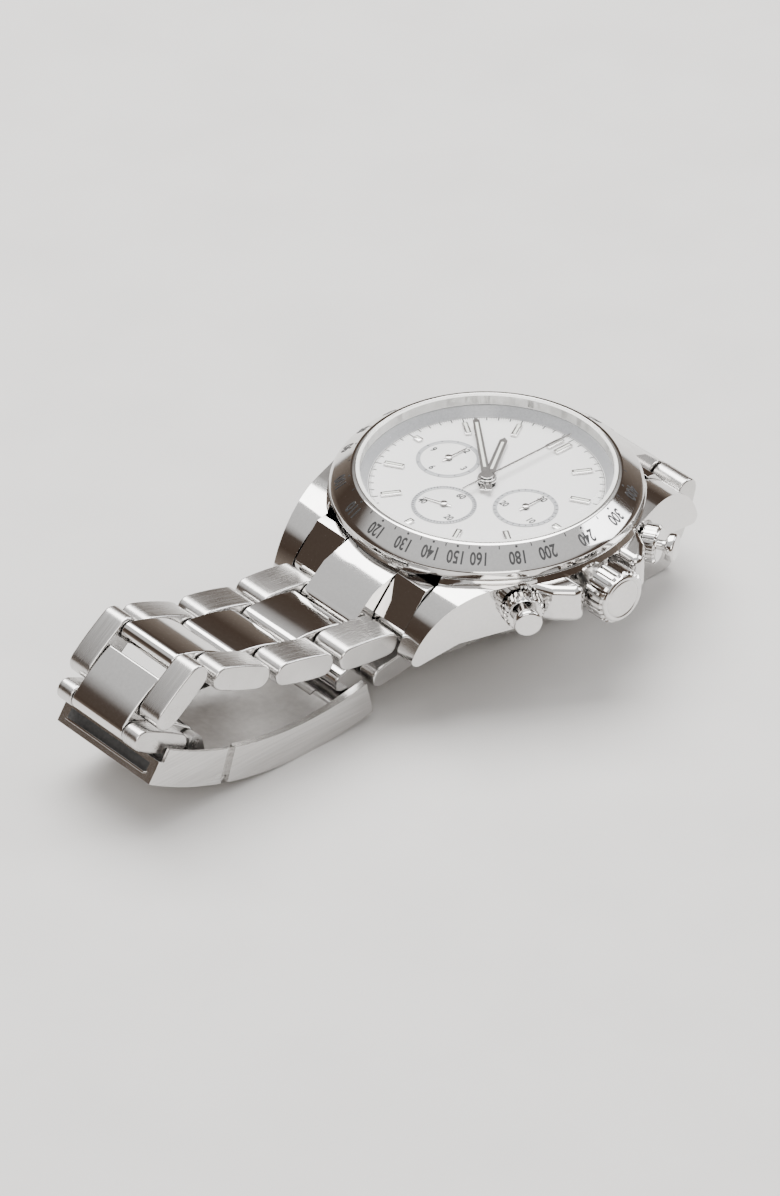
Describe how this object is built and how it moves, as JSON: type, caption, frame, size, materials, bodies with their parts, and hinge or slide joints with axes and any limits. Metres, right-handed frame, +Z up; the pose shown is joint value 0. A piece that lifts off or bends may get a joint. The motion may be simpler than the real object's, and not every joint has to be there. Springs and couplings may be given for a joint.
{
  "type": "chronograph wristwatch with link bracelet",
  "caption": "Steel chronograph wristwatch lying on its closed three-piece-link bracelet, with folding clasp, screw-down crown and pushers, and an engraved speed-scale bezel.",
  "frame": {"origin": "middle of the footprint, on the surface that the watch lies on", "axes": "+X from the clasp's fold to the head's 12 o'clock end, along the bracelet; -Y to 3 o'clock, where the crown is; +Z up, out of the crystal"},
  "size_m": [0.0882, 0.0442, 0.0216],
  "materials": {
    "brushed_steel": "satin brushed",
    "polished_steel": "mirror polished",
    "plain_steel": "turned",
    "sapphire": "clear polished",
    "white_gasket": "matte",
    "dark_gasket": "matte",
    "dial_white": "white lacquer",
    "dial_silver": "fine concentric",
    "movement_nickel": "rhodium plated, striped",
    "movement_brass": "gilt",
    "rotor_steel": "circular grained"
  },
  "bodies": {
    "clasp": {"clasp_cover": "brushed_steel", "cover_hinge_pin": "plain_steel", "catch_hinge_pin": "plain_steel"},
    "safety_catch": {"safety_catch": "brushed_steel"},
    "outer_blade": {"outer_blade": "plain_steel", "blade_hinge_pin": "plain_steel"},
    "inner_blade": {"inner_blade": "plain_steel", "bracelet_end_pin": "plain_steel"},
    "link_6_1": {"link_6_1": "brushed_steel"},
    "link_6_2": {"link_6_2": "brushed_steel"},
    "link_6_3": {"link_6_3": "brushed_steel"},
    "link_6_4": {"link_6_4": "brushed_steel"},
    "link_6_5": {"link_6_5": "brushed_steel"},
    "link_12_1": {"link_12_1": "brushed_steel"},
    "link_12_2": {"link_12_2": "brushed_steel"},
    "link_12_3": {"link_12_3": "brushed_steel"},
    "link_12_4": {"link_12_4": "brushed_steel"},
    "link_12_5": {"link_12_5": "brushed_steel"},
    "link_12_6": {"link_12_6": "brushed_steel"},
    "head": {"mid_case": "brushed_steel", "case_back": "polished_steel", "case_back_gasket": "dark_gasket", "bezel": "polished_steel", "crystal": "sapphire", "crystal_gasket": "white_gasket", "rehaut_ring": "dial_silver", "dial": "dial_white", "subdial_rings": "dial_silver", "hour_markers": "polished_steel", "movement_holder": "movement_nickel", "main_plate": "movement_nickel", "train_bridge": "movement_nickel", "balance_cock": "movement_nickel", "rotor_bearing": "plain_steel", "crown_tube": "plain_steel", "pusher_tubes": "plain_steel", "end_link_12": "polished_steel", "end_link_6": "polished_steel", "lug_spring_bars": "plain_steel"},
    "winding_stem": {"winding_stem": "plain_steel"},
    "crown": {"crown": "polished_steel"},
    "start_pusher": {"start_pusher": "polished_steel"},
    "reset_pusher": {"reset_pusher": "polished_steel"},
    "start_pusher_collar": {"start_pusher_collar": "polished_steel"},
    "reset_pusher_collar": {"reset_pusher_collar": "polished_steel"},
    "minute_hand": {"minute_hand": "polished_steel"},
    "hour_hand": {"hour_hand": "polished_steel"},
    "chrono_seconds": {"chrono_seconds_hand": "polished_steel"},
    "minute_counter": {"minute_counter_hand": "polished_steel"},
    "hour_counter": {"hour_counter_hand": "polished_steel"},
    "running_seconds": {"running_seconds_hand": "polished_steel"},
    "third_wheel": {"third_wheel": "movement_brass"},
    "mainspring_barrel": {"mainspring_barrel": "movement_brass"},
    "balance_wheel": {"balance_wheel": "movement_brass"},
    "rotor": {"rotor": "rotor_steel"}
  },
  "joints": [
    {"name": "clasp_unfold", "type": "hinge", "parent": "clasp", "child": "outer_blade", "pos_m": [-0.04016, 0.0024, 0.00817], "axis": [0, -1, 0], "range_deg": [0, 110.97]},
    {"name": "blade_unfold", "type": "hinge", "parent": "outer_blade", "child": "inner_blade", "pos_m": [-0.01266, 0.0024, 0.00261], "axis": [0, -1, 0], "range_deg": [-95.98, 0]},
    {"name": "link_6_5_hinge", "type": "hinge", "parent": "inner_blade", "child": "link_6_5", "pos_m": [-0.03412, 0.0024, 0.00795], "axis": [0, -1, 0], "range_deg": [0, 23.06]},
    {"name": "link_6_4_hinge", "type": "hinge", "parent": "link_6_5", "child": "link_6_4", "pos_m": [-0.04261, 0.0024, 0.01285], "axis": [0, -1, 0], "range_deg": [0, 67.5]},
    {"name": "link_6_3_hinge", "type": "hinge", "parent": "link_6_4", "child": "link_6_3", "pos_m": [-0.03488, 0.0024, 0.01889], "axis": [0, -1, 0], "range_deg": [-12, 0]},
    {"name": "link_6_2_hinge", "type": "hinge", "parent": "link_6_3", "child": "link_6_2", "pos_m": [-0.02593, 0.0024, 0.0149], "axis": [0, -1, 0], "range_deg": [-43.89, 0]},
    {"name": "link_6_1_hinge", "type": "hinge", "parent": "link_6_2", "child": "link_6_1", "pos_m": [-0.01646, 0.0024, 0.01236], "axis": [0, -1, 0], "range_deg": [-21.14, 0]},
    {"name": "head_hinge", "type": "hinge", "parent": "link_6_1", "child": "head", "pos_m": [-0.00676, 0.0024, 0.011], "axis": [0, -1, 0], "range_deg": [-25.21, 0]},
    {"name": "link_12_1_hinge", "type": "hinge", "parent": "head", "child": "link_12_1", "pos_m": [0.04244, 0.0024, 0.011], "axis": [0, -1, 0], "range_deg": [0, 1.52]},
    {"name": "link_12_2_hinge", "type": "hinge", "parent": "link_12_1", "child": "link_12_2", "pos_m": [0.0393, 0.0024, 0.00172], "axis": [0, -1, 0], "range_deg": [0, 77.32]},
    {"name": "link_12_3_hinge", "type": "hinge", "parent": "link_12_2", "child": "link_12_3", "pos_m": [0.0295, 0.0024, 0.00189], "axis": [0, -1, 0], "range_deg": [0, 24.29]},
    {"name": "link_12_4_hinge", "type": "hinge", "parent": "link_12_3", "child": "link_12_4", "pos_m": [0.01972, 0.0024, 0.00257], "axis": [0, -1, 0], "range_deg": [0, 14.62]},
    {"name": "link_12_5_hinge", "type": "hinge", "parent": "link_12_4", "child": "link_12_5", "pos_m": [0.01007, 0.0024, 0.00427], "axis": [0, -1, 0], "range_deg": [-7.61, 0]},
    {"name": "link_12_6_hinge", "type": "hinge", "parent": "link_12_5", "child": "link_12_6", "pos_m": [0.00033, 0.0024, 0.0053], "axis": [0, -1, 0], "range_deg": [-27.94, 0]},
    {"name": "safety_catch_flip", "type": "hinge", "parent": "clasp", "child": "safety_catch", "pos_m": [-0.03147, 0.0024, 0.00254], "axis": [0, -1, 0], "range_deg": [0, 85]},
    {"name": "crown_turn", "type": "hinge", "parent": "head", "child": "winding_stem", "pos_m": [0.01784, -0.0176, 0.01405], "axis": [0, -1, 0], "continuous": true},
    {"name": "crown_pull", "type": "slide", "parent": "winding_stem", "child": "crown", "axis": [0, -1, 0], "range_m": [0, 0.002]},
    {"name": "start_press", "type": "slide", "parent": "head", "child": "start_pusher", "axis": [-0.5, 0.866, 0], "range_m": [0, 0.0009], "stiffness_N_per_m": 400, "springref_m": -0.0008},
    {"name": "start_collar_unscrew", "type": "hinge", "parent": "head", "child": "start_pusher_collar", "pos_m": [0.02784, -0.01492, 0.01405], "axis": [0.5, -0.866, 0], "range_deg": [0, 360]},
    {"name": "reset_press", "type": "slide", "parent": "head", "child": "reset_pusher", "axis": [0.5, 0.866, 0], "range_m": [0, 0.0009], "stiffness_N_per_m": 400, "springref_m": -0.0008},
    {"name": "reset_collar_unscrew", "type": "hinge", "parent": "head", "child": "reset_pusher_collar", "pos_m": [0.00784, -0.01492, 0.01405], "axis": [-0.5, -0.866, 0], "range_deg": [0, 360]},
    {"name": "minute_hand_turn", "type": "hinge", "parent": "head", "child": "minute_hand", "pos_m": [0.01784, 0.0024, 0.018], "axis": [0, 0, -1], "continuous": true},
    {"name": "hour_hand_turn", "type": "hinge", "parent": "head", "child": "hour_hand", "pos_m": [0.01784, 0.0024, 0.018], "axis": [0, 0, -1], "continuous": true},
    {"name": "chrono_seconds_turn", "type": "hinge", "parent": "head", "child": "chrono_seconds", "pos_m": [0.01784, 0.0024, 0.018], "axis": [0, 0, -1], "continuous": true},
    {"name": "minute_counter_turn", "type": "hinge", "parent": "head", "child": "minute_counter", "pos_m": [0.01784, -0.0046, 0.0184], "axis": [0, 0, -1], "continuous": true},
    {"name": "hour_counter_turn", "type": "hinge", "parent": "head", "child": "hour_counter", "pos_m": [0.01784, 0.0094, 0.0184], "axis": [0, 0, -1], "continuous": true},
    {"name": "running_seconds_turn", "type": "hinge", "parent": "head", "child": "running_seconds", "pos_m": [0.01084, 0.0024, 0.0184], "axis": [0, 0, -1], "continuous": true},
    {"name": "third_wheel_turn", "type": "hinge", "parent": "head", "child": "third_wheel", "pos_m": [0.01424, -0.002, 0.014], "axis": [0, 0, -1], "continuous": true},
    {"name": "barrel_turn", "type": "hinge", "parent": "head", "child": "mainspring_barrel", "pos_m": [0.02234, 0.011, 0.014], "axis": [0, 0, -1], "continuous": true},
    {"name": "balance_swing", "type": "hinge", "parent": "head", "child": "balance_wheel", "pos_m": [0.01044, 0.008, 0.014], "axis": [0, 0, -1], "range_deg": [-135, 135]},
    {"name": "rotor_turn", "type": "hinge", "parent": "head", "child": "rotor", "pos_m": [0.01784, 0.0024, 0.018], "axis": [0, 0, -1], "continuous": true}
  ],
  "couplings": [
    {"joint": "blade_unfold", "follows": "clasp_unfold", "ratio": -0.8649},
    {"joint": "link_6_5_hinge", "follows": "clasp_unfold", "ratio": 0.20778},
    {"joint": "link_6_4_hinge", "follows": "clasp_unfold", "ratio": 0.60828},
    {"joint": "link_6_3_hinge", "follows": "clasp_unfold", "ratio": -0.10814},
    {"joint": "link_6_2_hinge", "follows": "clasp_unfold", "ratio": -0.39548},
    {"joint": "link_6_1_hinge", "follows": "clasp_unfold", "ratio": -0.19051},
    {"joint": "head_hinge", "follows": "clasp_unfold", "ratio": -0.22717},
    {"joint": "link_12_1_hinge", "follows": "clasp_unfold", "ratio": 0.013671},
    {"joint": "link_12_2_hinge", "follows": "clasp_unfold", "ratio": 0.69674},
    {"joint": "link_12_3_hinge", "follows": "clasp_unfold", "ratio": 0.21884},
    {"joint": "link_12_4_hinge", "follows": "clasp_unfold", "ratio": 0.13169},
    {"joint": "link_12_5_hinge", "follows": "clasp_unfold", "ratio": -0.06856},
    {"joint": "link_12_6_hinge", "follows": "clasp_unfold", "ratio": -0.25176},
    {"joint": "hour_hand_turn", "follows": "minute_hand_turn", "ratio": 0.083333},
    {"joint": "minute_counter_turn", "follows": "chrono_seconds_turn", "ratio": 0.033333},
    {"joint": "hour_counter_turn", "follows": "chrono_seconds_turn", "ratio": 0.0013889},
    {"joint": "third_wheel_turn", "follows": "running_seconds_turn", "ratio": -0.125}
  ]
}
